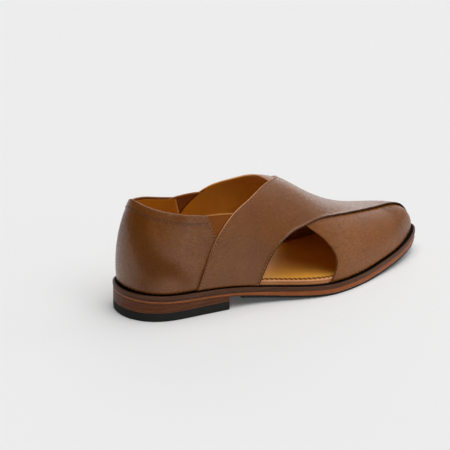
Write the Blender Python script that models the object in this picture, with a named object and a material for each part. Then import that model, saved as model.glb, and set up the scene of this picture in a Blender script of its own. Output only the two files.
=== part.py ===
"""Peshawari chappal for the right foot: two crossed leather straps and a closed heel on a leather sole.

Lengths in the tables are millimetres. x runs from the back of the heel to the toe, y from the
outer (lateral) side at minus to the inner (medial) side at plus, z is up from the floor.
A place on the shoe's last is given by its station x along the sole and its turn in degrees:
0 on the lateral edge of the sole, 90 on the ridge of the instep and toe, 180 on the medial edge.
"""
import bpy
import bmesh
import numpy as np

MM = 0.001  # one millimetre in metres

# Sole plan
LENGTH = 300.0
HEEL_ROUND = 46.0  # length over which the heel end is rounded
TOE_ROUND = 94.0  # length over which the toe end is rounded
SWING_START = 180.0  # from here forward the toe swings inwards
TOE_SWING = 10.4
WIDTHS = (  # station, lateral half width, medial half width
    (0, 34.5, 39.0),
    (50, 36.7, 34.7),
    (85, 38.3, 30.7),
    (112, 41.0, 28.6),
    (142, 50.3, 35.5),
    (172, 56.5, 45.0),
    (203, 51.7, 50.0),
    (236, 41.6, 48.0),
    (270, 34.3, 42.0),
    (300, 28.0, 34.0),
)

# Sole thicknesses and heights
RUBBER = 1.8  # thin rubber under the forefoot
OUTSOLE = 4.2
WELT = 3.4
INSOLE = 4.0
HEEL_RUBBER = 7.5
SOLE_STEP = 0.4  # each layer under the welt stands back by this much
TOE_ROOM = 4.5  # the insole stands back by this much more at the toe,
TOE_ROOM_START = 250.0  # growing from this station
INSOLE_BEVEL = 0.8
SQUARE_RIM = ((0, 0.0), (1, 0.0))  # share of a layer's thickness from its bottom, extra inset
SOFT_RIM = ((0, 0.4), (0.15, 0.0), (0.85, 0.0), (1, 0.4))
INSOLE_RIM = ((0, 0.0), (0.8, 0.0), (1, INSOLE_BEVEL))
GROOVED_RIM = ((0, 0.0), (0.46, 0.0), (0.5, 0.35), (0.54, 0.0), (1, 0.0))
HEEL_TIP_RIM = ((0, 0.5), (0.12, 0.0), (1, 0.0))
BREAST = 83.3  # station of the straight front of the heel
RUBBER_START = 96.0
GAP = 0.3  # clearance between pieces
TRIM = 8.0  # how far the shape that trims the upper's foot reaches out and down
FLAT_START, FLAT_END = 178.0, 214.0  # the forefoot rests on the floor between these stations
PROFILE = (  # station, height of the underside of the sole above the floor
    (0, 14.4),
    (40, 11.8),
    (84, 9.4),
    (112, 5.6),
    (142, 2.4),
    (165, 0.6),
    (178, 0.0),
    (214, 0.0),
    (240, 1.9),
    (270, 5.5),
    (300, 10.1),
)

# Last
LEDGE = 3.4  # width of the welt that shows outside the first layer of leather,
HEEL_LEDGE, TOE_LEDGE = 1.0, 1.6  # wider by this much at the very ends,
LEDGE_RUN = 45.0  # over this length
TUCK = 4.0  # the surface of the last runs on this far below the top of the welt
RIDGE = (  # station, x, y and z of the ridge, power of the section, fullness of the side
    (0, 28.0, -1.2, 118.9, 1.64, 5.6),
    (30, 68.0, -1.2, 122.5, 1.81, 6.0),
    (60, 76.5, 1.4, 117.4, 2.05, 2.0),
    (90, 99.0, 3.0, 110.7, 2.05, 3.0),
    (120, 126.0, 4.0, 99.2, 2.12, 1.6),
    (150, 154.0, 6.0, 90.8, 2.06, 1.0),
    (180, 182.0, 6.8, 73.6, 2.17, 1.1),
    (210, 210.0, 7.0, 58.1, 2.12, 1.1),
    (240, 238.0, 7.5, 48.0, 2.36, 1.5),
    (265, 262.0, 7.8, 43.8, 2.45, 1.6),
    (285, 283.3, 8.5, 39.8, 2.12, 0.7),
    (295, 291.8, 9.1, 31.4, 2.20, 1.5),
)

# Upper leather: each layer's depth below and height above the surface of the last
QUARTER_LAYER = (-1.8, 0.0)
UNDER_LAYER = (-1.2, 0.3)
OVER_LAYER = (-0.7, 1.5)
HUG = 25.0  # how late the rows of a strap's grid leave the edge of the sole at the toe
BAND_ABOVE = 0.7  # the folded band round the collar stands this much proud
QUARTER_HEIGHTS = (0, 0.1, 0.22, 0.36, 0.5, 0.64, 0.78, 0.87, 0.885, 1.0)  # rows of its grid
BAND_START = 0.88  # share of the quarter's height from which the band runs up to the collar
ELASTIC = 1.0
GUSSET_FOOT = (66.0, 21.0, 79.0, 22.0)  # rear station and turn, front station and turn
GUSSET_TOP = {-1: (57.0, 41.0, 97.5, 43.8), 1: (57.0, 41.0, 97.5, 47.8)}  # for each side
COLLAR = (  # station, turn of the collar edge on the lateral side, and from the medial edge
    (0, 57.5, 57.5),
    (7, 52.2, 50.8),
    (20, 47.5, 46.4),
    (43, 43.0, 43.0),
    (82, 40.2, 41.4),
)
QUARTER_FRONT = (  # share of the height, lateral station, medial station
    (0.0, 74.0, 74.0),
    (0.42, 79.0, 80.0),
    (0.69, 72.8, 74.4),
    (1.0, 64.8, 66.2),
)
STRAP_OVER = (  # share from lateral to medial, rear station and turn, front station and turn
    (0.00, 51.6, 0.0, 109.5, 0.0),
    (0.10, 61.8, 15.4, 117.7, 12.1),
    (0.20, 73.4, 29.0, 127.6, 23.6),
    (0.30, 91.5, 43.8, 144.1, 34.8),
    (0.40, 109.5, 55.8, 157.7, 40.8),
    (0.50, 131.0, 73.0, 182.0, 53.0),
    (0.60, 151.6, 90.0, 212.0, 64.8),
    (0.70, 154.0, 114.0, 240.0, 76.0),
    (0.80, 162.5, 134.0, 264.0, 83.6),
    (0.88, 173.0, 146.7, 283.0, 88.0),
    (0.94, 182.6, 162.0, 294.0, 90.0),
    (1.00, 171.5, 180.0, 300.0, 90.0),
)
STRAP_UNDER = (  # share from medial to lateral, rear station and turn, front station and turn
    (0.00, 50.6, 180.0, 109.5, 180.0),
    (0.10, 60.8, 164.6, 117.7, 167.9),
    (0.20, 70.5, 151.0, 127.6, 156.4),
    (0.30, 85.5, 136.4, 144.1, 145.2),
    (0.40, 102.0, 123.0, 157.7, 139.2),
    (0.50, 117.5, 110.5, 182.0, 131.0),
    (0.60, 133.0, 90.0, 212.0, 121.0),
    (0.70, 145.5, 64.0, 240.0, 110.0),
    (0.80, 158.4, 41.5, 264.0, 104.0),
    (0.88, 173.0, 33.3, 283.0, 104.0),
    (0.94, 182.6, 18.0, 294.0, 110.0),
    (1.00, 171.5, 0.0, 300.0, 110.0),
)


def column(table, index, x, level_start=False, level_end=False):
    """Cubic spline through one column of a table, against its first column.

    Its ends run on straight, or level where that is asked.
    """
    rows = np.array(table, float)
    knots, values = rows[:, 0], rows[:, index]
    count = len(knots)
    step = np.diff(knots)
    slope = np.diff(values) / step
    matrix = np.eye(count)
    right = np.zeros(count)
    for i in range(1, count - 1):
        matrix[i, i - 1 : i + 2] = step[i - 1], 2 * (step[i - 1] + step[i]), step[i]
        right[i] = 6 * (slope[i] - slope[i - 1])
    if level_start:
        matrix[0, :2] = 2 * step[0], step[0]
        right[0] = 6 * slope[0]
    if level_end:
        matrix[-1, -2:] = step[-1], 2 * step[-1]
        right[-1] = -6 * slope[-1]
    bend = np.linalg.solve(matrix, right)
    x = np.asarray(x, float)
    i = np.clip(np.searchsorted(knots, x) - 1, 0, count - 2)
    after, before, h = knots[i + 1] - x, x - knots[i], step[i]
    curve = (bend[i] * after**3 + bend[i + 1] * before**3) / (6 * h)
    line = (values[i] / h - bend[i] * h / 6) * after + (values[i + 1] / h - bend[i + 1] * h / 6) * before
    return curve + line


def station(share):
    """Station along the sole, closer together at the heel and at the toe."""
    return LENGTH * (1 - np.cos(np.pi * np.asarray(share, float))) / 2


def share_of(x):
    """The inverse of station."""
    return np.arccos(1 - 2 * np.clip(np.asarray(x, float) / LENGTH, 0, 1)) / np.pi


def edge_y(x, side):
    """y of the sole's edge; side is -1 for lateral and +1 for medial."""
    heel = np.clip(1 - x / HEEL_ROUND, 0, 1)
    toe = np.clip(1 - (LENGTH - x) / TOE_ROUND, 0, 1)
    rounding = np.sqrt(np.clip((1 - heel**3) * (1 - toe**3), 0, 1))
    swing = TOE_SWING * np.clip((x - SWING_START) / (LENGTH - SWING_START), 0, None) ** 2
    half = np.where(np.asarray(side) < 0, column(WIDTHS, 1, x), column(WIDTHS, 2, x))
    return swing + side * half * rounding


def inset_edge(x, side, inset):
    """Plan point of the sole's edge moved inwards, with the outward direction there."""
    nudge = 0.001
    share = share_of(x)
    low = station(np.clip(share - nudge, 0, 1))
    high = station(np.clip(share + nudge, 0, 1))
    along_x, along_y = high - low, edge_y(high, side) - edge_y(low, side)
    size = np.hypot(along_x, along_y)
    out_x, out_y = -side * along_y / size, side * along_x / size
    heel_end, toe_end = x <= 0.0, x >= LENGTH
    out_x = np.where(heel_end, -1.0, np.where(toe_end, 1.0, out_x))
    out_y = np.where(heel_end | toe_end, 0.0, out_y)
    return x - out_x * inset, edge_y(x, side) - out_y * inset, out_x, out_y


def underside(x):
    """Height of the sole's underside, level where the forefoot rests."""
    level = (x >= FLAT_START) & (x <= FLAT_END)
    return np.where(level, 0.0, np.maximum(column(PROFILE, 1, np.clip(x, 0, LENGTH)), 0.0))


def welt_top(x):
    return underside(np.clip(x, 0, LENGTH)) + RUBBER + OUTSOLE + WELT


def ledge(x):
    """Width of the welt that shows outside the upper."""
    heel = np.clip(1 - x / LEDGE_RUN, 0, 1)
    toe = np.clip(1 - (LENGTH - x) / LEDGE_RUN, 0, 1)
    return LEDGE + HEEL_LEDGE * heel**2 + TOE_LEDGE * toe**2


def by_share(table):
    """A table's rows with their stations turned into shares of the length."""
    return [(share_of(row[0]), *row[1:]) for row in table]


def ridge_rows():
    """The ridge table, closed by the point where the toe meets the sole."""
    tip_x = LENGTH - ledge(LENGTH)
    tip = (LENGTH, tip_x, TOE_SWING, welt_top(tip_x) - TUCK, 2.2, 0.0)
    return by_share((*RIDGE, tip))


def last_point(share, turn):
    """Point of the last at a share of the sole's length and a turn."""
    share, turn = np.broadcast_arrays(np.asarray(share, float), np.asarray(turn, float))
    rows = ridge_rows()
    ridge_x, ridge_y, power, fullness = (column(rows, i, share, True, True) for i in (1, 2, 4, 5))
    ridge_z = column(rows, 3, share, level_start=True)
    side = np.where(turn < 90, -1.0, 1.0)
    foot_x, foot_y, out_x, out_y = inset_edge(station(share), side, ledge(station(share)))
    angle = np.radians(turn)
    spread = np.abs(np.cos(angle)) ** (2 / power)
    rise = np.abs(np.sin(angle)) ** (2 / power)
    swell = fullness * np.abs(np.sin(2 * angle))
    foot_z = welt_top(foot_x) - TUCK
    return np.stack(
        (
            ridge_x + (foot_x - ridge_x) * spread + out_x * swell,
            ridge_y + (foot_y - ridge_y) * spread + out_y * swell,
            foot_z + (ridge_z - foot_z) * rise,
        ),
        axis=-1,
    )


def leather_point(share, turn, lift):
    """Point at a height above the last."""
    nudge = 0.002
    inside = np.clip(share, 2 * nudge, 1 - 2 * nudge)
    along = last_point(inside + nudge, turn) - last_point(inside - nudge, turn)
    around = last_point(inside, np.minimum(turn + 0.5, 180)) - last_point(inside, np.maximum(turn - 0.5, 0))
    out = np.cross(along, around)
    out /= np.linalg.norm(out, axis=-1, keepdims=True)
    return last_point(share, turn) + out * np.asarray(lift)[..., None]


def add_object(name, verts, faces, material, parent):
    """A mesh object from points in millimetres, its faces turned outwards."""
    mesh = bpy.data.meshes.new(name)
    mesh.from_pydata([tuple(v * MM) for v in np.asarray(verts, float)], [], faces)
    work = bmesh.new()
    work.from_mesh(mesh)
    bmesh.ops.triangulate(work, faces=work.faces)
    bmesh.ops.recalc_face_normals(work, faces=work.faces)
    work.to_mesh(mesh)
    work.free()
    mesh.shade_smooth()
    mesh.set_sharp_from_angle(angle=np.radians(35))
    thing = bpy.data.objects.new(name, mesh)
    thing.data.materials.append(material)
    thing.parent = parent
    bpy.context.scene.collection.objects.link(thing)
    return thing


def finish(name, colour, roughness):
    """A plain non-metal surface."""
    material = bpy.data.materials.new(name)
    material.use_nodes = True
    shader = material.node_tree.nodes["Principled BSDF"]
    shader.inputs["Base Color"].default_value = (*colour, 1)
    shader.inputs["Roughness"].default_value = roughness
    shader.inputs["Metallic"].default_value = 0
    return material


def sheet(name, share, turn, inner, outer, material, parent):
    """A closed shell over a grid of places on the last, between two lifts."""
    inside = leather_point(share, turn, np.broadcast_to(inner, share.shape))
    outside = leather_point(share, turn, np.broadcast_to(outer, share.shape))
    rows, cols = share.shape
    verts = np.concatenate((inside.reshape(-1, 3), outside.reshape(-1, 3)))

    def at(layer, i, j):
        return layer * rows * cols + i * cols + j

    faces = []
    for i in range(rows - 1):
        for j in range(cols - 1):
            faces.append((at(0, i, j), at(0, i, j + 1), at(0, i + 1, j + 1), at(0, i + 1, j)))
            faces.append((at(1, i, j), at(1, i + 1, j), at(1, i + 1, j + 1), at(1, i, j + 1)))
    for i in range(rows - 1):
        for j in (0, cols - 1):
            faces.append((at(0, i, j), at(0, i + 1, j), at(1, i + 1, j), at(1, i, j)))
    for j in range(cols - 1):
        for i in (0, rows - 1):
            faces.append((at(0, i, j), at(1, i, j), at(1, i, j + 1), at(0, i, j + 1)))
    return add_object(name, verts, faces, material, parent)


def quarter(material, parent):
    """The heel piece, from its lateral front edge round the heel to its medial front edge."""
    around = 38
    heights = np.array(QUARTER_HEIGHTS)
    sweep = np.linspace(-1, 1, around + 1)[:, None]
    front = np.where(sweep < 0, column(QUARTER_FRONT, 1, heights), column(QUARTER_FRONT, 2, heights))
    share = np.abs(sweep) * share_of(front)
    collar = by_share(COLLAR)
    lateral, medial = (heights * column(collar, i, share, level_start=True) for i in (1, 2))
    turn = np.where(sweep < 0, lateral, 180 - medial)
    lift = QUARTER_LAYER[1] + np.where(heights > BAND_START, BAND_ABOVE, 0.0)
    return sheet("upper", share, turn, QUARTER_LAYER[0], lift, material, parent)


def strap(name, table, layer, material, parent):
    """A strap between its rear and front edges, from one side of the sole to the other.

    Towards its far end the rows of the grid hug the sole before they turn up to the toe.
    """
    t = np.linspace(0, 1, 41)[:, None]
    mix = np.linspace(0, 1, 13)
    climb = mix ** (1 + HUG * t**8)
    share = share_of(column(table, 1, t)) * (1 - mix) + share_of(column(table, 3, t)) * mix
    rear_turn, front_turn = (np.clip(column(table, i, t), 0, 180) for i in (2, 4))
    turn = rear_turn * (1 - climb) + front_turn * climb
    return sheet(name, share, turn, *layer, material, parent)


def constant(value):
    """A function of the station that is the same everywhere."""
    return lambda x: np.full(np.shape(x), value)


def below_rubber(x):
    """Height of the face that lies on the forefoot rubber and on the heel."""
    return underside(x) + RUBBER


def insole_inset(x):
    room = np.clip((x - TOE_ROOM_START) / (LENGTH - TOE_ROOM_START), 0, 1)
    return ledge(x) - QUARTER_LAYER[0] + GAP + TOE_ROOM * room**2


def plate(name, span, inset, bottom, top, rim, material, parent):
    """A layer of the sole between two stations, its side following the rim steps.

    inset, bottom and top are functions of the station.
    """
    start, end = span
    stations = station(np.linspace(share_of(start), share_of(end), 41))
    rings = []
    for level, extra in rim:
        sides = []
        for side in (-1, 1):
            x, y, _, _ = inset_edge(stations, side, inset(stations) + extra)
            x = np.clip(x, stations[0] if start > 0 else -np.inf, stations[-1] if end < LENGTH else np.inf)
            z = bottom(x) * (1 - level) + top(x) * level
            sides.append(np.stack((x, y, z), axis=-1))
        rings.append(sides)
    closed_start, closed_end = start <= 0, end >= LENGTH
    verts, index = [], {}
    for r, sides in enumerate(rings):
        for s in range(2):
            for i in range(len(stations)):
                joined = s == 1 and ((i == 0 and closed_start) or (i == len(stations) - 1 and closed_end))
                if joined:
                    index[r, s, i] = index[r, 0, i]
                else:
                    index[r, s, i] = len(verts)
                    verts.append(sides[s][i])
    faces = []

    def face(*corners):
        unique = list(dict.fromkeys(index[c] for c in corners))
        if len(unique) > 2:
            faces.append(unique)

    top_ring = len(rings) - 1
    for i in range(len(stations) - 1):
        face((0, 0, i), (0, 0, i + 1), (0, 1, i + 1), (0, 1, i))
        face((top_ring, 0, i), (top_ring, 1, i), (top_ring, 1, i + 1), (top_ring, 0, i + 1))
        for r in range(top_ring):
            for s in range(2):
                face((r, s, i), (r + 1, s, i), (r + 1, s, i + 1), (r, s, i + 1))
    for r in range(top_ring):
        for i in (0, len(stations) - 1):
            face((r, 0, i), (r, 1, i), (r + 1, 1, i), (r + 1, 0, i))
    return add_object(name, verts, faces, material, parent)


def gusset(name, side, material, parent):
    """The elastic piece that closes the notch between the quarter and a strap, inside both."""
    rise = np.linspace(0, 1, 6)[:, None]
    across = np.linspace(0, 1, 7)
    rear, rear_turn, front, front_turn = (
        low * (1 - rise) + high * rise for low, high in zip(GUSSET_FOOT, GUSSET_TOP[side])
    )
    share = share_of(rear + (front - rear) * across)
    turn = rear_turn + (front_turn - rear_turn) * across
    turn = turn if side < 0 else 180 - turn
    outer = QUARTER_LAYER[0] - GAP
    return sheet(name, share, turn, outer - ELASTIC, outer, material, parent)


def combine(target, other, operation):
    """Join a helper shape to the target or cut it away, and keep the helper out of the part."""
    other.hide_render = True
    other.display_type = "WIRE"
    step = target.modifiers.new(other.name, "BOOLEAN")
    step.operation = operation
    step.solver = "EXACT"
    step.object = other


def build():
    for thing in list(bpy.data.objects):
        bpy.data.objects.remove(thing)
    shoe = bpy.data.objects.new("shoe", None)
    bpy.context.scene.collection.objects.link(shoe)

    brown = finish("brown_leather", (0.19, 0.09, 0.045), 0.5)
    tan = finish("tan_leather", (0.5, 0.23, 0.07), 0.55)
    dark = finish("dark_leather", (0.09, 0.045, 0.03), 0.5)
    orange = finish("sole_leather", (0.33, 0.12, 0.05), 0.45)
    stack = finish("heel_leather", (0.16, 0.065, 0.035), 0.45)
    black = finish("black_rubber", (0.02, 0.02, 0.02), 0.7)
    elastic = finish("brown_elastic", (0.22, 0.09, 0.035), 0.8)

    upper = quarter(brown, shoe)
    under = strap("strap_under", STRAP_UNDER, UNDER_LAYER, brown, shoe)
    over = strap("strap_over", STRAP_OVER, OVER_LAYER, brown, shoe)
    combine(upper, under, "UNION")
    combine(upper, over, "UNION")
    gusset("gusset_lateral", -1, elastic, shoe)
    gusset("gusset_medial", 1, elastic, shoe)

    whole, heel, forefoot = (0, LENGTH), (0, BREAST), (RUBBER_START, LENGTH)
    step = constant(SOLE_STEP)
    trim = plate("below_upper", whole, constant(-TRIM), constant(-TRIM),
                 lambda x: welt_top(x) + GAP, SQUARE_RIM, brown, shoe)
    combine(upper, trim, "DIFFERENCE")
    plate("insole", whole, insole_inset, lambda x: welt_top(x) + GAP,
          lambda x: welt_top(x) + GAP + INSOLE, INSOLE_RIM, tan, shoe)
    plate("welt", whole, constant(0.0), lambda x: welt_top(x) - WELT + GAP,
          welt_top, SOFT_RIM, dark, shoe)
    plate("outsole", whole, step, lambda x: below_rubber(x) + GAP,
          lambda x: welt_top(x) - WELT, SOFT_RIM, orange, shoe)
    plate("forefoot_rubber", forefoot, constant(2 * SOLE_STEP), underside,
          below_rubber, SQUARE_RIM, black, shoe)
    plate("heel_stack", heel, step, constant(HEEL_RUBBER + GAP),
          below_rubber, GROOVED_RIM, stack, shoe)
    plate("heel_rubber", heel, step, constant(0.0),
          constant(HEEL_RUBBER), HEEL_TIP_RIM, black, shoe)

    points = np.concatenate([
        np.array([v.co for v in thing.data.vertices]) for thing in shoe.children if not thing.hide_render
    ])
    middle = (points.min(axis=0) + points.max(axis=0)) / 2
    shoe.location = (-middle[0], -middle[1], -points[:, 2].min())


build()
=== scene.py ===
"""Looks of the peshawari chappal: leathers, lining, elastic, stitches, footbed and sole edges.

Every shape is worked out in millimetres in the shoe's own coordinates: x from the back of the heel
to the toe, y from the outer (lateral) side at minus to the inner (medial) side, z up from the floor.
A place on the last is a share of the sole's length and a turn in degrees: 0 on the lateral edge of
the sole, 90 on the ridge of the instep and toe, 180 on the medial edge.
"""

import bmesh
import bpy
import numpy as np
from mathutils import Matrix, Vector


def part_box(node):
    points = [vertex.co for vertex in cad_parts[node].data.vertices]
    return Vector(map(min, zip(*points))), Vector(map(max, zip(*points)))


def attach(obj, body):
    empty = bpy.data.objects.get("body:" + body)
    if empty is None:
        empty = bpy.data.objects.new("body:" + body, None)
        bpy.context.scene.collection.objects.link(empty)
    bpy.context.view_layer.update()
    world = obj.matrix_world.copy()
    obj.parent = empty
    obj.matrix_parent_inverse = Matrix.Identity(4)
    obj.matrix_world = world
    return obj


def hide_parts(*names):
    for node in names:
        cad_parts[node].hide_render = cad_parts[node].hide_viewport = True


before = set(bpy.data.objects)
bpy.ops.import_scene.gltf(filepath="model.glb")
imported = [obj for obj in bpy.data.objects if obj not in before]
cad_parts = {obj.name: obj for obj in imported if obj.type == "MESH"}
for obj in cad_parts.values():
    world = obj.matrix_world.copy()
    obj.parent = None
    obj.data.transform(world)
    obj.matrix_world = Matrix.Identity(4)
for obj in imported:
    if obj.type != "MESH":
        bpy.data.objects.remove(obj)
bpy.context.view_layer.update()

scene = bpy.context.scene

MM = 0.001  # one millimetre in metres
SIDES = ((-1, "lateral"), (1, "medial"))

# Sole plan and heights
LENGTH = 300.0
HEEL_ROUND, TOE_ROUND = 46.0, 94.0  # lengths over which the ends round off
SWING_START, TOE_SWING = 180.0, 10.4  # the toe swings this far inwards from that station on
WIDTHS = (  # station, lateral half width, medial half width
    (0, 34.5, 39),
    (50, 36.7, 34.7),
    (85, 38.3, 30.7),
    (112, 41, 28.6),
    (142, 50.3, 35.5),
    (172, 56.5, 45),
    (203, 51.7, 50),
    (236, 41.6, 48),
    (270, 34.3, 42),
    (300, 28, 34),
)
RUBBER, OUTSOLE, WELT, INSOLE = 1.8, 4.2, 3.4, 4.0  # thicknesses
HEEL_RUBBER = 7.5
SOLE_STEP = 0.4  # the outsole is this much smaller than the welt all round
UPPER_WALL = 1.8
TOE_ROOM_START, TOE_ROOM = 250.0, 4.5  # from that station on the footbed gets smaller, by this at the tip
BREAST, RUBBER_START = 83.3, 96.0  # stations of the heel's front face and of the forefoot rubber's rear one
GAP = 0.3  # between the footbed and the parts round it
FLAT_START, FLAT_END = 178.0, 214.0  # the forefoot stands on the floor between these stations
PROFILE = (  # station, height of the underside of the sole above the floor
    (0, 14.4),
    (40, 11.8),
    (84, 9.4),
    (112, 5.6),
    (142, 2.4),
    (165, 0.6),
    (178, 0),
    (214, 0),
    (240, 1.9),
    (270, 5.5),
    (300, 10.1),
)

# Last
LEDGE = 3.4  # width of the welt that shows outside the first layer of leather,
HEEL_LEDGE, TOE_LEDGE = 1.0, 1.6  # wider by this much at the very ends,
LEDGE_RUN = 45.0  # over this length
TUCK = 4.0  # the last reaches this far below the top of the welt
RIDGE = (  # station, x, y and z of the ridge, power of the section, fullness of the side
    (0, 28, -1.2, 118.9, 1.64, 5.6),
    (30, 68, -1.2, 122.5, 1.81, 6),
    (60, 76.5, 1.4, 117.4, 2.05, 2),
    (90, 99, 3, 110.7, 2.05, 3),
    (120, 126, 4, 99.2, 2.12, 1.6),
    (150, 154, 6, 90.8, 2.06, 1),
    (180, 182, 6.8, 73.6, 2.17, 1.1),
    (210, 210, 7, 58.1, 2.12, 1.1),
    (240, 238, 7.5, 48, 2.36, 1.5),
    (265, 262, 7.8, 43.8, 2.45, 1.6),
    (285, 283.3, 8.5, 39.8, 2.12, 0.7),
    (295, 291.8, 9.1, 31.4, 2.20, 1.5),
)
HUG = 25.0  # how long a strap keeps the turn of its rear edge at its toe end
COLLAR = (  # station, turn of the collar edge on the lateral side, and from the medial edge
    (0, 57.5, 57.5),
    (7, 52.2, 50.8),
    (20, 47.5, 46.4),
    (43, 43, 43),
    (82, 40.2, 41.4),
)
QUARTER_FRONT = (  # share of the height, lateral station, medial station
    (0, 74, 74),
    (0.42, 79, 80),
    (0.69, 72.8, 74.4),
    (1, 64.8, 66.2),
)
STRAP_OVER = (  # share from lateral to medial, rear station and turn, front station and turn
    (0, 51.6, 0, 109.5, 0),
    (0.1, 61.8, 15.4, 117.7, 12.1),
    (0.2, 73.4, 29, 127.6, 23.6),
    (0.3, 91.5, 43.8, 144.1, 34.8),
    (0.4, 109.5, 55.8, 157.7, 40.8),
    (0.5, 131, 73, 182, 53),
    (0.6, 151.6, 90, 212, 64.8),
    (0.7, 154, 114, 240, 76),
    (0.8, 162.5, 134, 264, 83.6),
    (0.88, 173, 146.7, 283, 88),
    (0.94, 182.6, 162, 294, 90),
    (1, 171.5, 180, 300, 90),
)
STRAP_UNDER = (  # share from medial to lateral, rear station and turn, front station and turn
    (0, 50.6, 180, 109.5, 180),
    (0.1, 60.8, 164.6, 117.7, 167.9),
    (0.2, 70.5, 151, 127.6, 156.4),
    (0.3, 85.5, 136.4, 144.1, 145.2),
    (0.4, 102, 123, 157.7, 139.2),
    (0.5, 117.5, 110.5, 182, 131),
    (0.6, 133, 90, 212, 121),
    (0.7, 145.5, 64, 240, 110),
    (0.8, 158.4, 41.5, 264, 104),
    (0.88, 173, 33.3, 283, 104),
    (0.94, 182.6, 18, 294, 110),
    (1, 171.5, 0, 300, 110),
)
GUSSET_FOOT = (66.0, 21.0, 79.0, 22.0)  # rear station and turn, front station and turn
GUSSET_TOP = {-1: (57.0, 41.0, 97.5, 43.8), 1: (57.0, 41.0, 97.5, 47.8)}  # for each side

# Leather layers: lift of the inner and of the outer face above the last
QUARTER_LEATHER = (-1.0, 0.0)
QUARTER_LINING = (-1.85, -1.05)
UNDER_LEATHER = (-0.7, 0.3)
UNDER_LINING = (-1.25, -0.75)
OVER_LEATHER = (0.72, 1.5)
OVER_LINING = (0.34, 0.68)
GUSSET_REAR_LIFT = -0.95  # lift of the elastic's outer face where the quarter holds it,
GUSSET_FRONT_LIFT = {-1: 0.95, 1: -0.55}  # and where each side's strap holds it
ELASTIC = 0.5  # its thickness
BAND_HEIGHT = 8.5  # height of the folded band round the collar
BAND_LIFT = 0.42  # lift of its outer face
EDGE_SHADED_BELOW, EDGE_TAN_ABOVE = 38.0, 86.0  # heights between which the painted shade on the cut edges fades from dark to tan
ROLL = 2.5  # radius of the bend where the upper turns under above the welt
SEAT = 0.05  # the turned leather lies this far above the welt

# Stitches
PITCH = 3.0
THREAD = 0.32  # half the thickness of the thread
SEAM = 1.7  # distance of a stitch line from the edge
# the folded front edge's dark paint is partly painted shade
CUT_WIDTH = 0.45  # width over which the leather's cut edge shows its colour,
FOLD_WIDTH = 1.1  # and the folded front edge its dark paint


def column(table, index, x, level_start=False, level_end=False):
    """Cubic spline through a table's column, against its first column; it can start or end level."""
    rows = np.array(table, float)
    knots, values = rows[:, 0], rows[:, index]
    count = len(knots)
    step = np.diff(knots)
    slope = np.diff(values) / step
    matrix = np.eye(count)
    right = np.zeros(count)
    for i in range(1, count - 1):
        matrix[i, i - 1 : i + 2] = step[i - 1], 2 * (step[i - 1] + step[i]), step[i]
        right[i] = 6 * (slope[i] - slope[i - 1])
    if level_start:
        matrix[0, :2] = 2 * step[0], step[0]
        right[0] = 6 * slope[0]
    if level_end:
        matrix[-1, -2:] = step[-1], 2 * step[-1]
        right[-1] = -6 * slope[-1]
    bend = np.linalg.solve(matrix, right)
    x = np.asarray(x, float)
    i = np.clip(np.searchsorted(knots, x) - 1, 0, count - 2)
    after, before, h = knots[i + 1] - x, x - knots[i], step[i]
    curve = (bend[i] * after**3 + bend[i + 1] * before**3) / (6 * h)
    line = (values[i] / h - bend[i] * h / 6) * after + (values[i + 1] / h - bend[i + 1] * h / 6) * before
    return curve + line


def station(share):
    """Station along the sole, closer together at the heel and at the toe."""
    return LENGTH * (1 - np.cos(np.pi * np.asarray(share, float))) / 2


def share_of(x):
    """The inverse of station."""
    return np.arccos(1 - 2 * np.clip(np.asarray(x, float) / LENGTH, 0, 1)) / np.pi


def edge_y(x, side):
    """y of the sole's edge; side is -1 for lateral and +1 for medial."""
    heel = np.clip(1 - x / HEEL_ROUND, 0, 1)
    toe = np.clip(1 - (LENGTH - x) / TOE_ROUND, 0, 1)
    rounding = np.sqrt(np.clip((1 - heel**3) * (1 - toe**3), 0, 1))
    swing = TOE_SWING * np.clip((x - SWING_START) / (LENGTH - SWING_START), 0, None) ** 2
    half = np.where(np.asarray(side) < 0, column(WIDTHS, 1, x), column(WIDTHS, 2, x))
    return swing + side * half * rounding


def inset_edge(x, side, inset):
    """Plan point of the sole's edge moved inwards, with the outward direction there."""
    nudge = 0.001
    share = share_of(x)
    low = station(np.clip(share - nudge, 0, 1))
    high = station(np.clip(share + nudge, 0, 1))
    along_x, along_y = high - low, edge_y(high, side) - edge_y(low, side)
    size = np.hypot(along_x, along_y)
    out_x, out_y = -side * along_y / size, side * along_x / size
    heel_end, toe_end = x <= 0.0, x >= LENGTH
    out_x = np.where(heel_end, -1.0, np.where(toe_end, 1.0, out_x))
    out_y = np.where(heel_end | toe_end, 0.0, out_y)
    return x - out_x * inset, edge_y(x, side) - out_y * inset, out_x, out_y


def underside(x):
    """Height of the sole's underside, level where the forefoot rests."""
    level = (x >= FLAT_START) & (x <= FLAT_END)
    return np.where(level, 0.0, np.maximum(column(PROFILE, 1, np.clip(x, 0, LENGTH)), 0.0))


def welt_top(x):
    return underside(x) + RUBBER + OUTSOLE + WELT


def ledge(x):
    """Width of the welt that shows outside the upper."""
    heel = np.clip(1 - x / LEDGE_RUN, 0, 1)
    toe = np.clip(1 - (LENGTH - x) / LEDGE_RUN, 0, 1)
    return LEDGE + HEEL_LEDGE * heel**2 + TOE_LEDGE * toe**2


def by_share(table):
    """A table's rows with their stations turned into shares of the length."""
    return [(share_of(row[0]), *row[1:]) for row in table]


tip_x = LENGTH - ledge(LENGTH)
TOE_TIP = (LENGTH, tip_x, TOE_SWING, welt_top(tip_x) - TUCK, 2.2, 0.0)  # where the ridge meets the sole
RIDGE_ROWS = by_share((*RIDGE, TOE_TIP))


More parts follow.
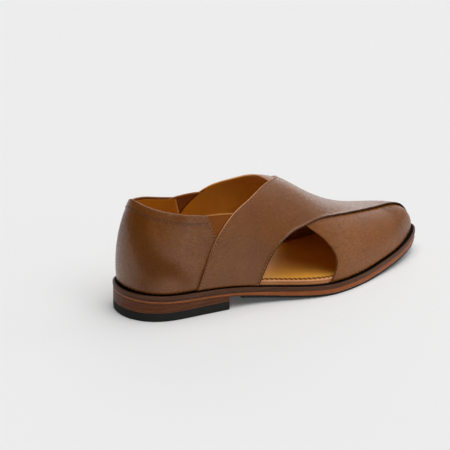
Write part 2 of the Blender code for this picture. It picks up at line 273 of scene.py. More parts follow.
def last_point(share, turn):
    """Point of the last, with the outward direction of the sole's edge beside it."""
    share, turn = np.broadcast_arrays(np.asarray(share, float), np.asarray(turn, float))
    ridge_x, ridge_y, power, fullness = (column(RIDGE_ROWS, i, share, True, True) for i in (1, 2, 4, 5))
    ridge_z = column(RIDGE_ROWS, 3, share, level_start=True)
    side = np.where(turn < 90, -1.0, 1.0)
    foot_x, foot_y, out_x, out_y = inset_edge(station(share), side, ledge(station(share)))
    angle = np.radians(turn)
    spread = np.abs(np.cos(angle)) ** (2 / power)
    rise = np.abs(np.sin(angle)) ** (2 / power)
    swell = fullness * np.abs(np.sin(2 * angle))
    foot_z = welt_top(foot_x) - TUCK
    point = np.stack(
        (
            ridge_x + (foot_x - ridge_x) * spread + out_x * swell,
            ridge_y + (foot_y - ridge_y) * spread + out_y * swell,
            foot_z + (ridge_z - foot_z) * rise,
        ),
        axis=-1,
    )
    return point, np.stack((out_x, out_y, np.zeros_like(out_x)), axis=-1)


def unit(vectors):
    return vectors / np.linalg.norm(vectors, axis=-1, keepdims=True)


def last_normal(share, turn):
    """Direction straight out of the last."""
    nudge = 0.002
    inside = np.clip(share, 2 * nudge, 1 - 2 * nudge)
    along = last_point(inside + nudge, turn)[0] - last_point(inside - nudge, turn)[0]
    further, nearer = np.minimum(turn + 0.5, 180), np.maximum(turn - 0.5, 0)
    return unit(np.cross(along, last_point(inside, further)[0] - last_point(inside, nearer)[0]))


def leather_point(share, turn, lift, top):
    """Point at a lift above the last, turned under where it comes down to the welt.

    top is the lift of the outer face of the same leather.
    """
    base, out = last_point(share, turn)
    point = base + last_normal(share, turn) * np.asarray(lift)[..., None]
    depth = top - np.asarray(lift)
    floor = welt_top(point[..., 0]) + SEAT + depth
    radius = np.maximum(ROLL - depth, 0.3)
    run = np.maximum(floor + radius - point[..., 2], 0)
    angle = np.clip(run / radius, 0, np.pi / 2)
    inward = radius * (1 - np.cos(angle)) + np.maximum(run - radius * np.pi / 2, 0)
    point = point - out * inward[..., None]
    point[..., 2] = np.where(run > 0, floor + radius * (1 - np.sin(angle)), point[..., 2])
    return point


# Meshes

SHARP_ANGLE = 50.0  # edges sharper than this many degrees aren't smoothed

welt_low, welt_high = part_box("welt")
sole_line = np.linspace(0, LENGTH, 3001)
sole_middle = (edge_y(sole_line, -1).min() + edge_y(sole_line, 1).max()) / 2
TO_FRAME = np.array((welt_low.x / MM, (welt_low.y + welt_high.y) / (2 * MM) - sole_middle, 0.0))


def add_object(name, data):
    thing = bpy.data.objects.new(name, data)
    scene.collection.objects.link(thing)
    return thing


def add_piece(name, verts, faces, materials, face_material=None, replaces=()):
    """A smooth mesh piece from points in millimetres, riding on the part."""
    mesh = bpy.data.meshes.new(name)
    mesh.from_pydata(((verts + TO_FRAME) * MM).tolist(), [], faces)
    for material in materials:
        mesh.materials.append(material)
    if face_material is not None:
        mesh.polygons.foreach_set("material_index", np.asarray(face_material, np.int32))
    work = bmesh.new()
    work.from_mesh(mesh)
    bmesh.ops.recalc_face_normals(work, faces=work.faces)
    work.to_mesh(mesh)
    work.free()
    mesh.shade_smooth()
    mesh.set_sharp_from_angle(angle=np.radians(SHARP_ANGLE))
    thing = add_object(name, mesh)
    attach(thing, "root")
    if replaces:
        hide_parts(*replaces)


def shell(name, outer, inner, slot, materials, outer_material=0, inner_material=0, wall_materials=(0, 0, 0),
          replaces=()):
    """A closed shell between two grids of points of the same size.

    outer_material and inner_material are a number or one number for each face. wall_materials are those
    of the walls at the first column, at the last column and at the two end rows.
    """
    rows, cols = outer.shape[:2]
    verts = np.concatenate((outer.reshape(-1, 3), inner.reshape(-1, 3)))
    i, j = np.meshgrid(np.arange(rows - 1), np.arange(cols - 1), indexing="ij")
    a = (i * cols + j).ravel()
    other = rows * cols
    top = np.stack((a, a + cols, a + cols + 1, a + 1), axis=1)
    bottom = np.stack((a, a + 1, a + cols + 1, a + cols), axis=1) + other
    left, low = np.arange(rows - 1) * cols, np.arange(cols - 1)
    walls = []
    for edge, step in ((left, cols), (left + cols - 1, cols), (low, 1), (low + (rows - 1) * cols, 1)):
        walls.append(np.stack((edge, edge + step, edge + step + other, edge + other), axis=1))
    faces = np.concatenate((top, bottom, *walls))
    sheets = [np.broadcast_to(m, (rows - 1, cols - 1)).ravel() for m in (outer_material, inner_material)]
    index = np.concatenate((*sheets, np.repeat(wall_materials, (rows - 1, rows - 1, 2 * (cols - 1)))))
    add_piece(name, verts, faces.tolist(), materials, index, replaces)


# Distances from an edge at which a grid has its close rows
EDGE_STEPS = np.array((0, 0.12, 0.28, 0.5, 0.8, 1.2, 1.7, 2, 2.3, 2.6, 3, 3.6, 4.6))


def spaced(length, count, fine_start=True, fine_end=True):
    """Distances from 0 to a length, close together next to the ends that are edges."""
    first = EDGE_STEPS if fine_start else np.zeros(1)
    last = length - EDGE_STEPS[::-1] if fine_end else np.array((length,))
    middle = np.linspace(first[-1], last[0], count + 2)[1:-1]
    return np.concatenate((first, middle, last))


def walk(place, t, samples=61):
    """Distances along mix on the last at each t, with the values of mix that they belong to."""
    mix = np.linspace(0, 1, samples)
    points = last_point(*place(t[:, None], mix))[0]
    steps = np.linalg.norm(np.diff(points, axis=1), axis=-1)
    return np.concatenate((np.zeros((len(steps), 1)), np.cumsum(steps, axis=1)), axis=1), mix


def grid(place, t, count, fine_start=True, fine_end=True):
    """Places at each t with close rows next to the edges, and each place's distance from them."""
    run, mix = walk(place, t)
    start = np.array([spaced(line[-1], count, fine_start, fine_end) for line in run])
    rows = np.array([np.interp(distance, line, mix) for distance, line in zip(start, run)])
    share, turn = place(t[:, None], rows)
    return share, turn, start, run[:, -1:] - start


def rounded(distance, radius):
    """How far a face has sunk at a distance from a rounded edge."""
    short = np.clip(radius - distance, 0, radius)
    return radius - np.sqrt(radius**2 - short**2)


def strap_place(table):
    """The places of a strap: t runs from one side of the sole to the other, mix from rear to front."""

    def place(t, mix):
        climb = mix ** (1 + HUG * t**8)
        share = share_of(column(table, 1, t)) * (1 - mix) + share_of(column(table, 3, t)) * mix
        rear_turn, front_turn = (np.clip(column(table, i, t), 0, 180) for i in (2, 4))
        return share, rear_turn * (1 - climb) + front_turn * climb

    return place


def quarter_place(t, mix):
    """The places of the quarter: t from the lateral to the medial front edge, mix from foot to collar."""
    front = np.where(t < 0, column(QUARTER_FRONT, 1, mix), column(QUARTER_FRONT, 2, mix))
    share = np.abs(t) * share_of(front)
    collar = by_share(COLLAR)
    lateral, medial = (mix * column(collar, i, share, level_start=True) for i in (1, 2))
    return share, np.where(t < 0, lateral, 180 - medial)


over_place = strap_place(STRAP_OVER)
under_place = strap_place(STRAP_UNDER)


def edge_path(place, t, distance, lift, from_end=False, top=None):
    """Points and normals along a line at a distance from an edge of a leather piece.

    top is the lift of the leather's outer face, where that isn't the line's own lift.
    """
    run, mix = walk(place, t, 121)
    at = np.array([np.interp(line[-1] - distance if from_end else distance, line, mix) for line in run])
    share, turn = place(t, at)
    return leather_point(share, turn, lift, lift if top is None else top), last_normal(share, turn)


def sheet(name, share, turn, outer, inner, top, slot, materials, **options):
    """A shell on the last between an outer and an inner lift, turned under as leather_point says."""
    outside, inside = (leather_point(share, turn, lift, top) for lift in (outer, inner))
    shell(name, outside, inside, slot, materials, **options)


def thread_row(name, points, normals, pitch, length, material, radius=THREAD, slant=0.0, start=0.5,
               sink=0.12, proud=0.75):
    """A row of stitches along a line: short bowed lengths of thread whose ends go into the leather.

    slant turns each stitch, start is the first one's place in pitches, sink is the depth of the ends in
    the leather, and proud is the height of the middle in radiuses.
    """
    steps = np.linalg.norm(np.diff(points, axis=0), axis=1)
    run = np.concatenate(([0.0], np.cumsum(steps)))
    centres = np.arange(pitch * start, run[-1] - pitch / 2, pitch)

    def along(values, where):
        return np.stack([np.interp(where, run, values[:, k]) for k in range(3)], axis=-1)

    rings, sides, nudge = 7, 6, 0.4  # the direction is taken over a run of twice the nudge
    a = np.linspace(-1, 1, rings)
    middle = along(points, centres)
    tangent = unit(along(points, centres + nudge) - along(points, centres - nudge))
    up = along(normals, centres)
    up = unit(up - tangent * (up * tangent).sum(axis=1, keepdims=True))
    across = np.cross(up, tangent)
    heading = tangent * np.cos(slant) + across * np.sin(slant)
    across = np.cross(up, heading)
    thick = radius * np.sqrt(np.clip(1 - a**6, 0.02, 1))  # rounded off at both ends
    height = radius * proud - (sink + radius) * a**4  # bowed down into the leather there
    spin = np.arange(sides) * 2 * np.pi / sides
    ring = (
        middle[:, None, None]
        + heading[:, None, None] * (a * length / 2)[None, :, None, None]
        + up[:, None, None] * (height[None, :, None] + thick[None, :, None] * np.sin(spin))[..., None]
        + across[:, None, None] * (thick[None, :, None] * np.cos(spin))[..., None]
    )
    verts = ring.reshape(-1, 3)
    faces = []
    for s in range(len(centres)):
        base = s * rings * sides
        for r in range(rings - 1):
            for k in range(sides):
                low, high = base + r * sides + k, base + r * sides + (k + 1) % sides
                faces.append((low, high, high + sides, low + sides))
        for end in (base, base + (rings - 1) * sides):
            faces.append(tuple(end + k for k in range(sides)))
    add_piece(name, verts, faces, [material])


def constant(value):
    """A function of the station that is the same everywhere."""
    return lambda x: np.full(np.shape(x), value)


def below_rubber(x):
    """Height of the face that lies on the forefoot rubber and on the heel."""
    return underside(x) + RUBBER


def insole_inset(x):
    room = np.clip((x - TOE_ROOM_START) / (LENGTH - TOE_ROOM_START), 0, 1)
    return ledge(x) + UPPER_WALL + GAP + TOE_ROOM * room**2


def plain(x, level):
    """The first material everywhere."""
    return 0


def layer(name, span, inset, bottom, top, rim, materials, paint=plain, top_material=0,
          replaces=(), across=12, stations=181):
    """A layer of the sole between two stations, its side following the rim steps.

    inset, bottom and top are functions of the station; rim lists (height above the bottom as a share
    of the thickness, extra inset). paint gives the material of the side at a station and such a share.
    """
    start, end = span
    x_line = station(np.linspace(share_of(start), share_of(end), stations))
    rings = []
    for side in (-1, 1):
        steps = []
        for level, extra in rim:
            x, y, _, _ = inset_edge(x_line, side, inset(x_line) + extra)
            low = x_line[0] if start > 0 else -np.inf
            high = x_line[-1] - extra if end < LENGTH else np.inf
            x = np.clip(x, low, high)
            steps.append(np.stack((x, y, bottom(x) * (1 - level) + top(x) * level), axis=-1))
        rings.append(np.stack(steps, axis=1))
    lateral, medial = rings
    mix = np.linspace(0, 1, across + 1)[None, :, None]

    def cover(step, height):
        face = lateral[:, step, None] * (1 - mix) + medial[:, step, None] * mix
        face[..., 2] = height(face[..., 0])
        return face

    # One closed loop across each station: bottom, medial side, top face back, lateral side down
    top_face = cover(-1, top)[:, ::-1]
    ring = np.concatenate((cover(0, bottom), medial[:, 1:], top_face[:, 1:], lateral[:, -2:0:-1]), axis=1)
    count = ring.shape[1]
    i, j = np.meshgrid(np.arange(stations - 1), np.arange(count), indexing="ij")
    a, b = (i * count + j).ravel(), (i * count + (j + 1) % count).ravel()
    faces = np.stack((a, b, b + count, a + count), axis=1).tolist()
    levels = np.array(rim)[:, 0]
    middle = (levels[1:] + levels[:-1]) / 2
    side_paint = paint(((x_line[1:] + x_line[:-1]) / 2)[:, None], middle)
    side_paint = np.broadcast_to(side_paint, (stations - 1, len(middle)))
    floor_paint = np.zeros((stations - 1, across), int)
    index = np.concatenate((floor_paint, side_paint, floor_paint + top_material, side_paint[:, ::-1]), axis=1)
    index = index.ravel().tolist()
    for end_row in (0, stations - 1):
        faces.append(tuple(end_row * count + k for k in range(count)))
        index.append(0)
    add_piece(name, ring.reshape(-1, 3), faces, materials, index, replaces)


# Materials

BANDS_AT_ONE = 3.14  # Blender's wave texture shows about this many bands per metre at a scale of 1


class Nodes:
    """Adds shader nodes to a material or a world and links them."""

    def __init__(self, owner, shader="Principled BSDF", coordinates="Object"):
        owner.use_nodes = True
        self.owner = owner
        self.tree = owner.node_tree
        self.shader = self.tree.nodes[shader]
        self.place = self.add("ShaderNodeTexCoord").outputs[coordinates]

    def fill(self, node, inputs):
        """Give a node's inputs their numbers, colours or links, but for those that are None."""
        for key, value in inputs.items():
            if isinstance(value, (int, float)):
                node.inputs[key].default_value = value
            elif isinstance(value, tuple):
                node.inputs[key].default_value = (*value, 1)
            elif value is not None:
                self.tree.links.new(value, node.inputs[key])
        return node

    def add(self, kind, inputs=None, **settings):
        node = self.tree.nodes.new(kind)
        for key, value in settings.items():
            setattr(node, key, value)
        return self.fill(node, inputs or {})

    def mapped(self, change, amounts):
        """The place after a change of its scale or rotation."""
        node = self.add("ShaderNodeMapping", {"Vector": self.place})
        node.inputs[change].default_value = amounts
        return node.outputs["Vector"]

    def noise(self, size_mm, detail=3.0, roughness=0.55, stretch=(1, 1, 1), distortion=0.0):
        """Noise whose features are about size_mm across."""
        vector = self.mapped("Scale", [s / (size_mm * MM) for s in stretch])
        inputs = {"Vector": vector, "Scale": 1.0, "Detail": detail, "Roughness": roughness}
        return self.add("ShaderNodeTexNoise", {**inputs, "Distortion": distortion}).outputs["Fac"]

    def bands(self, place, width_mm, distortion, detail, **settings):
        """Bands across Z, each about width_mm wide."""
        scale = 1 / (width_mm * MM) / BANDS_AT_ONE
        inputs = {"Vector": place, "Scale": scale, "Distortion": distortion, "Detail": detail}
        return self.add("ShaderNodeTexWave", inputs, bands_direction="Z", **settings).outputs["Fac"]

    def ramp(self, source, low=0.3, high=0.7, to_low=0.0, to_high=1.0):
        inputs = {"Value": source, "From Min": low, "From Max": high, "To Min": to_low, "To Max": to_high}
        return self.add("ShaderNodeMapRange", inputs, interpolation_type="SMOOTHSTEP").outputs["Result"]

    def math(self, operation, first, second=0.0):
        return self.add("ShaderNodeMath", {0: first, 1: second}, operation=operation).outputs[0]

    def mix(self, factor, first, second):
        return self.add("ShaderNodeMix", {0: factor, 6: first, 7: second}, data_type="RGBA").outputs[2]

    def tint(self, tone, colour, mask, strength):
        """A tone turned towards a colour as far as the mask and the strength say."""
        return self.mix(self.math("MULTIPLY", mask, strength), tone, colour)

    def axis(self, name):
        return self.add("ShaderNodeSeparateXYZ", {0: self.place}).outputs[name]

    def bump(self, height, depth_mm, under=None):
        inputs = {"Strength": 1.0, "Distance": depth_mm * MM, "Height": height, "Normal": under}
        return self.add("ShaderNodeBump", inputs).outputs["Normal"]

    def against(self, operation, vector):
        """The distance or dot product between the place and a fixed vector."""
        node = self.add("ShaderNodeVectorMath", {0: self.place}, operation=operation)
        node.inputs[1].default_value = vector
        return node.outputs["Value"]

    def near(self, point_mm, radius_mm):
        """1 at a point of the shoe, falling to 0 at a radius from it."""
        distance = self.against("DISTANCE", (point_mm + TO_FRAME) * MM)
        return self.ramp(distance, 0.0, radius_mm * MM, 1.0, 0.0)

    def finish(self, colour, roughness, normal=None, gloss=None):
        inputs = {"Base Color": colour, "Roughness": roughness, "Normal": normal, "Specular IOR Level": gloss}
        self.fill(self.shader, inputs)
        return self.owner


def new_material(name):
    return Nodes(bpy.data.materials.new(name))


SHADE_SPOTS = (  # points of heel, collar band and toe with painted shade, a darker tone and less gloss standing in for dark reflections, on both sides, with the radius of each patch
    (11.5, 9.9, 88, 19),
    (8.9, 12.6, 76, 21),
    (9.6, 17, 64, 22),
    (14, 24, 54, 21),
    (23, 30.5, 47, 19),
    (33, 34, 43.5, 15),
    (12, 22, 34, 24),
    (272, 15, 30, 35),
    (40, 28.5, 86, 17),
    (43, 33.8, 33, 17),
    (268, 2, 43, 12),
)
GRAIN_SPOTS = (  # where the grain is strong: point and radius
    (197, -40, 46, 62),
    (60, -32, 62, 52),
    (197, 48, 46, 62),
    (60, 32, 62, 52),
)
WAXED_DARK, WAXED_LIGHT = (0.178, 0.052, 0.003), (0.222, 0.068, 0.0045)
SPECK, PAINTED_SHADE = (0.135, 0.036, 0.002), (0.085, 0.023, 0.0014)
GRAIN_HIGHLIGHT, GRAIN_SHADE = (0.34, 0.13, 0.035), (0.08, 0.022, 0.0015)  # painted highlight on the grain's peaks and painted shade in its troughs
TOE_TONE = (0.0, 0.03)  # the lining turns to its toe tone between these x, in metres of the frame


def upper_leather(name, light=1.0, gloss=0.52):
    """Brown waxed leather with a wrinkled grain, stronger beside the windows and on the quarter, with painted
    highlight and shade on the grain and painted shade on heel, collar band and toe.
    """
    n = new_material(name)

    def spots(table, signs):
        total = 0.0
        for x, y, z, radius in table:
            for sign in signs:
                total = n.math("ADD", n.near((x, sign * y, z), radius), total)
        return total

    dark_tone, light_tone = (tuple(light * c for c in tone) for tone in (WAXED_DARK, WAXED_LIGHT))
    tone = n.mix(n.ramp(n.noise(34, 4)), dark_tone, light_tone)
    tone = n.tint(tone, SPECK, n.ramp(n.noise(1.6, 2), 0.35), 0.3)
    # painted shade: the shade spots darken the tone and turn the gloss down
    shade_mask = n.ramp(spots(SHADE_SPOTS, (-1, 1)), 0.0, 1.8)
    tone = n.tint(tone, PAINTED_SHADE, shade_mask, 0.48)
    strong = n.ramp(spots(GRAIN_SPOTS, (1,)), 0.0, 0.9, 0.13, 1.0)
    waves = n.noise(1.8, 2, 0.5, stretch=(0.42, 0.55, 1.0), distortion=0.4)
    # painted highlight on the grain's peaks and painted shade in its troughs, where the grain is strong
    highlit_peaks = n.math("MULTIPLY", n.ramp(waves, 0.52, 0.72), strong)
    shaded_troughs = n.math("MULTIPLY", n.ramp(waves, 0.47, 0.3), strong)
    pores = n.ramp(n.math("ABSOLUTE", n.math("SUBTRACT", n.noise(1.5, 2, distortion=0.8), 0.5)), 0.08, 0.0)
    tone = n.tint(n.tint(tone, GRAIN_HIGHLIGHT, highlit_peaks, 0.3), GRAIN_SHADE, shaded_troughs, 0.32)
    normal = n.bump(n.math("MULTIPLY", waves, strong), 0.75)
    normal = n.bump(pores, -0.04, normal)
    normal = n.bump(n.noise(7.0, 2, stretch=(1, 1, 2.2), distortion=0.6), 0.3, normal)
    rough = n.ramp(n.noise(3.0, 3), to_low=0.25, to_high=0.33)
    return n.finish(tone, rough, normal, n.ramp(shade_mask, 0.0, 1.0, gloss, 0.14))


def lining_leather(name, low, high, gloss=0.25, toe=None):
    """Smooth vegetable-tanned leather, with its own tone towards the toe where toe is given."""
    n = new_material(name)
    tone = n.mix(n.ramp(n.noise(22, 4)), low, high)
    if toe is not None:
        tone = n.mix(n.ramp(n.axis("X"), *TOE_TONE), tone, toe)
    normal = n.bump(n.noise(0.9, 3), 0.05)
    normal = n.bump(n.noise(9, 2), 0.25, normal)
    return n.finish(tone, n.ramp(n.noise(2.5), to_low=0.5, to_high=0.62), normal, gloss)


def raw_edge(name, low, high):
    """Cut edge of the leather: painted shade makes it dark at the foot of the shoe, and it is lighter at the
    top.
    """
    n = new_material(name)
    climb = n.ramp(n.axis("Z"), EDGE_SHADED_BELOW * MM, EDGE_TAN_ABOVE * MM)
    tone = n.tint(n.mix(climb, low, high), (0.3, 0.1, 0.035), n.ramp(n.noise(2.0, 3), 0.35), 0.25)
    return n.finish(tone, 0.5, n.bump(n.noise(0.6, 2), 0.05))


def dark_fold():
    """Folded edge of the leather, painted dark: partly edge paint, partly painted shade in the gap under the
    over strap's front edge and on the strap's inner face.
    """
    n = new_material("dark_folded_edge_and_shade")
    tone = n.mix(n.ramp(n.noise(2.0, 3)), (0.04, 0.011, 0.002), (0.08, 0.022, 0.004))
    return n.finish(tone, 0.5, n.bump(n.noise(0.6, 2), 0.05), 0.15)


def elastic_band():
    """Woven elastic: fine ribs along the strap's rear edge."""
    n = new_material("brown_elastic")
    ribs = n.bands(n.mapped("Rotation", (0, np.radians(-52), 0)), 1.5, 0.6, 1.0)
    tone = n.mix(ribs, (0.17, 0.046, 0.006), (0.31, 0.09, 0.013))
    return n.finish(tone, 0.8, n.bump(n.noise(0.5, 2), 0.05, n.bump(ribs, 0.25)), 0.12)


def thread(name, low, high):
    n = new_material(name)
    twist = n.noise(0.5, 2)
    return n.finish(n.mix(twist, low, high), 0.6, n.bump(twist, 0.05))


def edge_leather(name, low, high, dark, roughness=0.45, layers_mm=None, gloss=0.18):
    """Waxed edge of sole leather: long streaks that follow the layers."""
    n = new_material(name)
    streak = n.noise(9.0, 4, 0.6, stretch=(0.35, 0.35, 9.0))
    tone = n.mix(n.ramp(streak), low, high)
    tone = n.mix(n.ramp(n.noise(2.2, 4, 0.7, stretch=(0.5, 0.5, 5.0)), 0.52, 0.72), tone, dark)
    normal = n.bump(streak, 0.12)
    if layers_mm:
        line = n.ramp(n.bands(n.place, layers_mm, 0.5, 2.0, wave_profile="SAW"), 0.9, 1.0)
        tone = n.tint(tone, dark, line, 0.55)
        normal = n.bump(line, -0.12, normal)
    return n.finish(tone, roughness, normal, gloss)


def rubber():
    n = new_material("black_rubber")
    tone = n.mix(n.noise(6, 3), (0.012, 0.012, 0.011), (0.02, 0.019, 0.018))
    return n.finish(tone, 0.7, n.bump(n.noise(0.8, 3), 0.05), 0.2)


brown = upper_leather("brown_leather")
# painted light: a lighter copy of the upper leather for the under strap, standing in for the extra light it
# catches
lit_vamp_copy = upper_leather("brown_vamp_leather", 1.26, 0.41)
lining = lining_leather("tan_lining", (0.47, 0.17, 0.007), (0.58, 0.225, 0.011), toe=(0.46, 0.245, 0.011))
lining_rim = lining_leather("lining_rim", (0.62, 0.28, 0.06), (0.72, 0.34, 0.08))
gusset_hem = lining_leather("gusset_hem_leather", (0.42, 0.16, 0.03), (0.52, 0.21, 0.05))
# cut edges, with painted shade towards the foot of the shoe
cut_edge = raw_edge("tan_cut_edge", (0.09, 0.018, 0.004), (0.75, 0.34, 0.13))
window_edge = raw_edge("window_cut_edge", (0.03, 0.008, 0.002), (0.42, 0.15, 0.045))
edge_paint_and_shade = dark_fold()
elastic = elastic_band()
# collar thread darkened as painted shade under the band's lower edge
shaded_collar_thread = thread("dark_collar_thread", (0.07, 0.024, 0.008), (0.12, 0.045, 0.017))
# brown thread, lightened in part as painted highlight
highlit_thread = thread("highlit_thread", (0.3, 0.12, 0.055), (0.44, 0.2, 0.1))
# painted shade: dark pieces in the stitch holes
hole_shade = thread("stitch_holes_in_shade", (0.012, 0.004, 0.0015), (0.02, 0.007, 0.003))
# painted light: the footbed is paler than its leather, standing in for light that reaches into the shoe
lit_sock_leather = lining_leather("tan_footbed", (0.9, 0.4, 0.05), (0.96, 0.46, 0.07), gloss=0.12)
sock_thread = thread("brown_sock_thread", (0.13, 0.035, 0.005), (0.24, 0.075, 0.011))
pale_sock_thread = thread("tan_sock_thread", (0.4, 0.15, 0.015), (0.55, 0.22, 0.025))
binding = lining_leather("footbed_binding", (0.68, 0.26, 0.09), (0.78, 0.33, 0.13))
binding_rim = lining_leather("footbed_binding_rim", (0.76, 0.4, 0.2), (0.84, 0.48, 0.27))
welt_edge = edge_leather("welt_edge", (0.085, 0.033, 0.015), (0.125, 0.05, 0.024), (0.035, 0.014, 0.008))
# top of the welt: black dye, deepened as painted shade in the crevice under the upper
welt_dye_and_shade = edge_leather("welt_top_dye_and_shade", (0.004, 0.0025, 0.002), (0.006, 0.004, 0.003),
                          (0.003, 0.002, 0.002), roughness=0.8, gloss=0.05)
orange_edge = edge_leather("orange_sole_edge", (0.3, 0.08, 0.02), (0.4, 0.12, 0.035), (0.13, 0.035, 0.012))
stack_edge = edge_leather("heel_stack_edge", (0.11, 0.033, 0.01), (0.17, 0.055, 0.018), (0.05, 0.017, 0.007),
                          layers_mm=4.6)
black = rubber()


# Pieces

CREASES = (  # ends as station and turn, half width in mm, depth in mm (below 0 is a ridge)
    (96, 36, 118, 58, 3, 0.22),
    (104, 34, 126, 52, 3, -0.2),
    (52, 12, 64, 26, 3.5, 0.25),
    (30, 10, 44, 30, 4, 0.2),
    (186, 60, 204, 96, 3.2, 0.25),
    (196, 56, 212, 92, 3, -0.2),
    (206, 50, 224, 88, 3.4, 0.25),
    (190, 22, 206, 44, 3, 0.22),
    (202, 16, 220, 40, 3.2, 0.22),
    (186, 150, 204, 118, 3.2, 0.25),
    (200, 156, 220, 120, 3.4, 0.22),
)
THINNEST = 0.02  # no leather is thinner, and layers that touch are set this far apart or into each other
SEAM_DEPTH, SEAM_SPREAD = 0.16, 0.45  # depth and spread of the groove that a line of stitches draws
QUARTER_SEAM_DEPTH = 0.14
FOLD_LIFT = 0.6  # the over strap's folded front edge stands up this far,
FOLD_MIDDLE, FOLD_SPREAD = 1.4, 1.6  # most at this distance from the edge,
FOLD_HOLLOW = 1.5  # and its inner face this many times as far
FRONT_HEIGHT = 0.7  # share of the quarter's height at which the distance from its front edges is measured
BAND_PROFILE = (  # distance below the collar edge, lift of the outer face, lift of the inner face
    (BAND_HEIGHT, 0.06, 0.03),
    (BAND_HEIGHT - 0.05, 0.22, 0.03),
    (BAND_HEIGHT - 0.25, 0.36, 0.03),
    (BAND_HEIGHT - 0.6, 0.42, 0.03),
    (BAND_HEIGHT - 1.0, 0.38, 0.03),
    (BAND_HEIGHT - 1.5, 0.32, 0.03),
    (BAND_HEIGHT - 2.0, 0.38, 0.03),
    (BAND_HEIGHT - 3.0, 0.42, 0.03),
    (4.0, 0.42, 0.03),
    (2.6, 0.42, 0.03),
    (1.6, 0.42, 0.03),
    (0.9, 0.38, 0.03),
    (0.45, 0.25, -0.05),
    (0.16, 0.0, -0.2),
    (0.02, -0.35, -0.5),
    (0.1, -0.85, -0.7),
    (0.35, -1.25, -0.9),
    (0.8, -1.5, -1.0),
    (1.6, -1.6, -1.04),
    (2.6, -1.6, -1.04),
)
BAND_BEND = 0.6  # the inner face stays this much lower where the band bends over the edge
GUSSET_STEPS, HEM_STEPS, GUSSET_BULGE = 60, 5, 0.2
HEM_START = 0.955  # share of the gusset's height where its bound hem starts
HEM_LIFT, HEM_DEPTH, HEM_SWELL = 0.22, 0.4, 0.12  # its lift, how much thicker it is, and its rounding
QUARTER_LINING_END, OVER_LINING_END = 0.97, 0.965  # shares of the leather's width at which its lining ends
QUARTER_RIM = 0.98  # share of the quarter's reach past which its lining shows a pale rim
UNDER_LINING_SHADE = (0.1, 0.335, 1.1)  # shares of the strap between which its lining's edge carries painted shadow, and the width


def relief(share, turn):
    """Soft troughs and ridges of the leather, as a change of its lift."""
    spot = last_point(share, turn)[0]
    total = np.zeros(np.shape(share))
    for start, start_turn, end, end_turn, width, depth in CREASES:
        first, last = (last_point(share_of(a), b)[0] for a, b in ((start, start_turn), (end, end_turn)))
        line = last - first
        along = np.clip(((spot - first) * line).sum(axis=-1) / (line**2).sum(), 0, 1)
        away = np.linalg.norm(spot - first - along[..., None] * line, axis=-1)
        fade = np.sin(np.pi * np.clip(along, 0.02, 0.98)) ** 0.5
        total -= depth * fade * np.exp(-((away / width) ** 2))
    return total


def groove(distance, depth):
    """How far a line of stitches draws the leather in at a distance from its edge."""
    return depth * np.exp(-(((distance - SEAM) / SEAM_SPREAD) ** 2))


def strap_leather(name, place, lifts, raised, leather, front_edge, front_width):
    """One strap's leather: a cut rear edge and a folded, rounded front edge."""
    inner, outer = lifts
    share, turn, rear, front = grid(place, np.linspace(0, 1, 240), 34)
    half = (outer - inner) / 2
    fold = raised * np.exp(-(((front - FOLD_MIDDLE) / FOLD_SPREAD) ** 2))
    turned = rounded(front, 0.98 * half)
    top = outer + fold - groove(rear, SEAM_DEPTH) + relief(share, turn) - rounded(rear, 0.85 * half) - turned
    low = np.minimum(inner + FOLD_HOLLOW * fold + rounded(rear, 0.1 * half) + turned, top - THINNEST)
    painted = np.where(rear[:-1, :-1] < CUT_WIDTH, 1, np.where(front[1:, 1:] < front_width, 2, 0))
    sheet(name, share, turn, top, low, outer, "upper_leather", [leather, cut_edge, front_edge],
          outer_material=painted, inner_material=2, wall_materials=(1, 2, 1), replaces=["upper"])


def lining_sheet(name, place, t, lifts, along_edges=True, count=24, rim=None, on_rim=None):
    """A lining glued to the back of a leather piece.

    on_rim says from t and the distance from the first edge where the inner face has the rim's material.
    """
    inner, outer = lifts
    share, turn, start, end = grid(place, t, count, fine_start=along_edges)
    radius = 0.45 * (outer - inner)
    sink = rounded(end, radius) + (rounded(start, radius) if along_edges else 0)
    materials, painted = [lining], 0
    if rim is not None:
        materials.append(rim)
        painted = np.where(on_rim(t[:-1, None], start[:-1, :-1]), 1, 0)
    sheet(name, share, turn, outer, inner + sink, outer, "lining_leather", materials, inner_material=painted)


def quarter_leather():
    """The heel quarter: one piece from the lateral to the medial front edge."""
    inner, outer = QUARTER_LEATHER
    spans = ((-1, -0.94, 22), (-0.935, 0.935, 200), (0.94, 1, 22))  # closer together at the front edges
    reach = np.concatenate([np.linspace(*span) for span in spans])
    share, turn, _, top = grid(quarter_place, reach, 40, fine_start=False)
    half = (outer - inner) / 2
    run, mix = walk(lambda height, mix: quarter_place(mix - 1, height), np.array((FRONT_HEIGHT,)), 121)
    front = np.interp(1 - np.abs(reach), mix, run[0])[:, None]
    sunk = rounded(top, half) + rounded(front, 0.9 * half)
    lift = outer - groove(front, QUARTER_SEAM_DEPTH) + relief(share, turn) - sunk
    low = np.minimum(inner + rounded(top, half), lift - THINNEST)
    sheet("leather_quarter", share, turn, lift, low, outer, "upper_leather", [brown, cut_edge],
          inner_material=1, wall_materials=(1, 1, 1), replaces=["upper"])


def collar_band():
    """A strip of leather folded over the collar edge."""
    outside, inside = [], []
    for distance, outer, inner in BAND_PROFILE:
        deeper = distance + (BAND_BEND if distance < 1 else 0)
        for lines, below, lift in ((outside, distance, outer), (inside, deeper, inner)):
            lines.append(edge_path(quarter_place, np.linspace(-1, 1, 261), below, lift, True, BAND_LIFT)[0])
    shell("collar_band", np.stack(outside, axis=1), np.stack(inside, axis=1), "upper_leather", [brown],
          replaces=["upper"])


